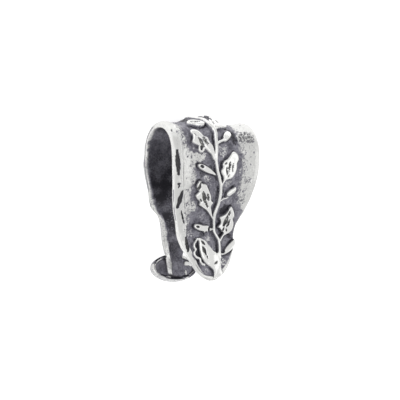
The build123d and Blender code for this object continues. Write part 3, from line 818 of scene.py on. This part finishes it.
class Socket:
    """A node's output that Python's own sums work on."""

    def __init__(self, tree, link):
        self.tree = tree
        self.link = link

    def node(self, kind, settings=(), inputs=(), output=0):
        made = self.tree.nodes.new(kind)
        for name, value in dict(settings).items():
            setattr(made, name, value)
        for name, value in dict(inputs).items():
            if isinstance(value, Socket):
                self.tree.links.new(value.link, made.inputs[name])
            else:
                made.inputs[name].default_value = value
        return Socket(self.tree, made.outputs[output])

    def sum_of(self, operation, first, second):
        return self.node("ShaderNodeMath", {"operation": operation}, {0: first, 1: second})

    def __add__(self, other):
        return self.sum_of("ADD", self, other)

    def __sub__(self, other):
        return self.sum_of("SUBTRACT", self, other)

    def __rsub__(self, other):
        return self.sum_of("SUBTRACT", other, self)

    def __mul__(self, other):
        return self.sum_of("MULTIPLY", self, other)

    def __rmul__(self, other):
        return self.sum_of("MULTIPLY", other, self)

    def between(self, low, high):
        """0 below low, 1 above high, and smooth between."""
        settings = {"interpolation_type": "SMOOTHSTEP"}
        return self.node("ShaderNodeMapRange", settings, {"Value": self, "From Min": low, "From Max": high})

    def blend(self, first, second):
        """Colour that goes from first to second as this number goes from 0 to 1."""
        # The node's inputs 6 and 7 are its two colours
        return self.node("ShaderNodeMix", {"data_type": "RGBA"}, {0: self, 6: first, 7: second}, output=2)


CAST_SILVER = (0.66, 0.66, 0.645, 1)
POLISHED_SILVER = (0.78, 0.78, 0.765, 1)
DARK_GROUND = (0.112, 0.109, 0.134, 1)
LIGHT_GROUND = (0.265, 0.260, 0.295, 1)
PIT_GREY = (0.13, 0.13, 0.122, 1)
DEEP_BLACK = (0.022, 0.021, 0.028, 1)


def oxidised_silver():
    """Cast silver, blackened in its low places and polished back on its high ones, with painted shade and
    painted highlights carried in the same finishes.
    """
    material = bpy.data.materials.new("oxidised_silver")
    material.use_nodes = True
    tree = material.node_tree
    shader = tree.nodes["Principled BSDF"]
    start = Socket(tree, None)
    oxide_and_shade, polish_and_highlight, worn, pitted = (
        start.node("ShaderNodeAttribute", {"attribute_name": finish}, output="Fac") for finish in FINISHES
    )
    where = start.node("ShaderNodeTexCoord", output="Object")

    def grain(size, detail, seed):
        """Uneven number from 0 to 1 with patches of a size in millimetres."""
        settings = {"noise_dimensions": "4D"}
        inputs = {"Vector": where, "W": seed, "Scale": 1 / (size * MM), "Detail": detail, "Roughness": 0.6}
        return start.node("ShaderNodeTexNoise", settings, inputs)

    patches = grain(0.9, 3.0, 1.0)
    specks = grain(0.22, 2.0, 4.0)
    fine = grain(0.11, 2.0, 7.0)
    spark = (0.3 * specks + 0.7 * fine + 0.20 * worn).between(0.57, 0.65) * worn.between(0.05, 0.45)
    speck = (0.35 * specks + 0.65 * fine - 0.13 * pitted).between(0.46, 0.38) * pitted
    dark = oxide_and_shade * (1.0 - 0.85 * spark) + 0.60 * speck * (1.0 - oxide_and_shade)
    dark = dark + 1.2 * (fine - 0.5) * oxide_and_shade * (1.4 - oxide_and_shade)
    bright = (polish_and_highlight + 0.3 * (patches - 0.5)).between(0.2, 0.9)
    silver = bright.blend(CAST_SILVER, POLISHED_SILVER)
    mixed = (0.55 * patches + 0.45 * specks).between(0.36, 0.64)
    ground = mixed.blend(DARK_GROUND, LIGHT_GROUND)
    ground = pitted.between(0.5, 1.0).blend(ground, PIT_GREY)
    colour = dark.between(0.08, 0.50).blend(silver, ground)
    colour = dark.between(0.62, 0.98).blend(colour, DEEP_BLACK)
    tree.links.new(colour.link, shader.inputs["Base Color"])
    roughness = 0.32 - 0.08 * bright + 0.22 * dark + 0.10 * (fine - 0.5)
    tree.links.new(roughness.link, shader.inputs["Roughness"])
    metal = 1.0 - 0.45 * dark
    tree.links.new(metal.link, shader.inputs["Metallic"])
    height = (0.5 * specks + 0.5 * fine) * (1.0 - 0.75 * bright)
    bump = start.node("ShaderNodeBump", {}, {"Strength": 0.6, "Distance": 0.05 * MM, "Height": height})
    tree.links.new(bump.link, shader.inputs["Normal"])
    return material


silver = oxidised_silver()
strap.data.materials.append(silver)
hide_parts("bail")
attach(strap, "root")

# The glue pad. A small oval dish, cast apart and soldered behind the back leg:
# a flat back to glue, a low floor that the leg's end lies on, and a round rim.
pad_width = 6.3
pad_height = 3.45
pad_floor_thickness = 0.55
pad_rim_height = 0.34
pad_overlap_height = 1.15
solder_depth = 0.12
pad_depth = pad_floor_thickness + pad_rim_height
lump_height = 0.14
floor_unevenness = 0.05
rim_wave = 0.03
# Kept back from the pad's full size, so that the waves of the rim stay inside it
rim_margin = 0.047
# The rim's section: distance in from the pad's edge, height above its flat back
PAD_SECTION = (
    (0.30, 0.00), (0.08, 0.00), (0.02, 0.03), (0.00, 0.10), (0.00, 0.25), (0.015, 0.45), (0.00, 0.62),
    (0.02, 0.78), (0.08, 0.86), (0.17, 0.89), (0.28, 0.86), (0.37, 0.77), (0.42, 0.66), (0.50, 0.57),
    (0.62, 0.545), (0.90, 0.55), (1.20, 0.55), (1.50, 0.55),
)

# Black places on the rim: degrees round from the right, how far either way, how black,
# and from how far in to how far in
PAD_BLACK = (
    (112, 14, 0.90, 0.0, 0.6), (140, 12, 0.95, 0.0, 0.2), (157, 4, 0.80, 0.0, 0.3),
    (205, 5, 0.60, 0.2, 0.6), (232, 14, 0.95, 0.2, 0.6), (266, 26, 0.95, 0.12, 0.4),
    (300, 10, 0.90, 0.2, 0.6), (322, 16, 0.75, 0.0, 0.3), (350, 14, 0.60, 0.1, 0.6),
)
# Raised lumps on the floor, partly bright solder and partly painted highlights: place across and up, half
# width, half height
LUMPS_AND_HIGHLIGHTS = ((1.95, 0.42, 0.66, 0.40), (1.48, -0.66, 0.18, 0.50), (-1.05, -1.16, 0.46, 0.13))


turn_count = 192
section_count = 72


def pad_mesh():
    """Rings from the middle of the pad's back, round its rim, to the middle of its floor."""
    turn = np.linspace(0, 2 * np.pi, turn_count, endpoint=False)
    section = np.array(PAD_SECTION)
    arc = np.concatenate([[0], np.cumsum(np.hypot(*np.diff(section, axis=0).T))])
    even = np.linspace(0, arc[-1], section_count)
    inset = flowing(arc, section[:, 0], even)
    level = flowing(arc, section[:, 1], even)
    points = []
    finishes = []
    for k in range(len(even)):
        wave = rim_wave * (rumple(2 * np.cos(turn), 5 + 2 * np.sin(turn), 0.9, 23) - 0.5)
        reach = np.maximum(inset[k] + wave * (level[k] > 0.1) + rim_margin, 0.0)
        x = (pad_width / 2 - reach) * np.cos(turn)
        z = (pad_height / 2 - reach) * np.sin(turn)
        floor = inset[k] > 0.4 and level[k] > 0.4
        uneven = rumple(x, 10 + z, 0.5, 29) - 0.5
        lump_and_highlight = in_places(x, z, [(*row, 1.0) for row in LUMPS_AND_HIGHLIGHTS]) * (level[k] > 0.4) * (inset[k] > 0.3)
        lump_and_highlight = smooth(1.6 * (lump_and_highlight - 0.4 + 0.5 * uneven))
        n = np.full(len(turn), np.clip(level[k], 0, pad_depth))
        if floor:
            n = n + floor_unevenness * uneven + lump_height * lump_and_highlight
        points.append(np.column_stack([x, z, n]))
        black = np.full(len(turn), 0.50 if floor else 0.18 * (level[k] < 0.7))
        black = np.maximum(black, 0.95 * np.exp(-(((inset[k] - 0.47) / 0.05) ** 2)) * floor)
        for at, spread, strength, start, end in PAD_BLACK:
            away = np.abs((np.degrees(turn) - at + 180) % 360 - 180)
            place_in = (inset[k] > start) * (inset[k] < end) * (level[k] > 0.3)
            black = np.maximum(black, place_in * strength * (1 - smooth((away / spread - 0.6) / 0.8)))
        # The lumps lose their black and count as polished: painted highlights
        black = black * (1 - lump_and_highlight)
        crown_and_highlight = np.maximum(0.9 * (level[k] > 0.82), 0.7 * lump_and_highlight)
        finishes.append(np.column_stack([black, crown_and_highlight, 0.1 * floor + 0 * turn, 0.5 * (1 - floor) + 0 * turn]))
    return np.array(points), np.array(finishes)


heel = length - pad_overlap_height
seat = np.interp(heel, run, thick_at) * wall_thickness - solder_depth
pad_middle = place(np.zeros(1), np.array([heel]), np.array([seat]))[0]
pad_back = np.array([0, math.cos(pad_lean), -math.sin(pad_lean)])
pad_up = np.array([0, math.sin(pad_lean), math.cos(pad_lean)])
local, finishes = pad_mesh()
flat = local.reshape(-1, 3)
pad_points = pad_middle + flat[:, :1] * np.array([1, 0, 0]) + flat[:, 1:2] * pad_up
pad_points = pad_points + (pad_floor_thickness - flat[:, 2:3]) * pad_back
pad = piece_from("glue_pad", laid(pad_points), tube_faces(*local.shape[:2]), finishes)
pad.data.materials.append(silver)
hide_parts("bail")
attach(pad, "root")

# The floor. A plain sheet of pale card under the bail, far larger than it, that
# glows a little, so that it stays near white.
floor_half = 0.6
floor_mesh = bpy.data.meshes.new("floor")
corners = [(x * floor_half, y * floor_half, 0) for x, y in ((-1, -1), (1, -1), (1, 1), (-1, 1))]
floor_mesh.from_pydata(corners, [], [(0, 1, 2, 3)])
floor = bpy.data.objects.new("floor", floor_mesh)
bpy.context.scene.collection.objects.link(floor)
card = bpy.data.materials.new("pale_card")
card.use_nodes = True
card_finish = {
    "Base Color": (0.93, 0.93, 0.93, 1),
    "Roughness": 0.9,
    "Specular IOR Level": 0.1,
    "Emission Color": (1, 1, 1, 1),
    "Emission Strength": 0.5,
}
for name, value in card_finish.items():
    card.node_tree.nodes["Principled BSDF"].inputs[name].default_value = value
floor.data.materials.append(card)

# The light. A pale room with three wide soft boxes above the bail: one to its
# left, a weaker one to its right and the weakest in front.
world = bpy.data.worlds.new("room")
bpy.context.scene.world = world
world.use_nodes = True
world.node_tree.nodes["Background"].inputs["Color"].default_value = (1, 1, 1, 1)
world.node_tree.nodes["Background"].inputs["Strength"].default_value = 0.9


def soft_box(name, place_at, size, power):
    """A square lamp that faces the bail."""
    lamp = bpy.data.lights.new(name, "AREA")
    lamp.size = size
    lamp.energy = power
    box = bpy.data.objects.new(name, lamp)
    box.location = place_at
    box.rotation_euler = (-Vector(place_at)).to_track_quat("-Z", "Y").to_euler()
    bpy.context.scene.collection.objects.link(box)


soft_box("soft_box_left", (-0.24, 0.12, 0.30), 0.30, 0.20)
soft_box("soft_box_right", (0.30, 0.06, 0.26), 0.26, 0.10)
soft_box("soft_box_front", (0.02, -0.32, 0.22), 0.22, 0.06)

# The camera. It looks at the front leg from 30 degrees to its left, level with
# the upright bail, which is steeply down on the lying one. Its distance, the
# width that it sees and the place that it looks at are on the upright bail too.
camera_turn = math.radians(30.0)
camera_away = 200.0
frame_width = 47.62
look_across = -0.238
look_up = -5.464
sight = np.array([math.sin(camera_turn), math.cos(camera_turn), 0])
right = np.array([math.cos(camera_turn), -math.sin(camera_turn), 0])
target = right * look_across + np.array([0, 0, look_up])
camera_data = bpy.data.cameras.new("camera")
camera_data.sensor_width = 36.0
camera_data.lens = camera_data.sensor_width * camera_away / frame_width
camera_data.clip_start = 0.01
camera = bpy.data.objects.new("camera", camera_data)
upright = (target - camera_away * sight, target, target + np.array([0, 0, 1]))
eye, aim, above = (Vector(point) for point in laid(upright))
back = (eye - aim).normalized()
top = (above - aim).normalized()
across = top.cross(back)
turned = Matrix((across, top, back)).transposed().to_4x4()
camera.matrix_world = Matrix.Translation(eye) @ turned
bpy.context.scene.collection.objects.link(camera)
bpy.context.scene.camera = camera
bpy.context.scene.view_settings.view_transform = "Standard"
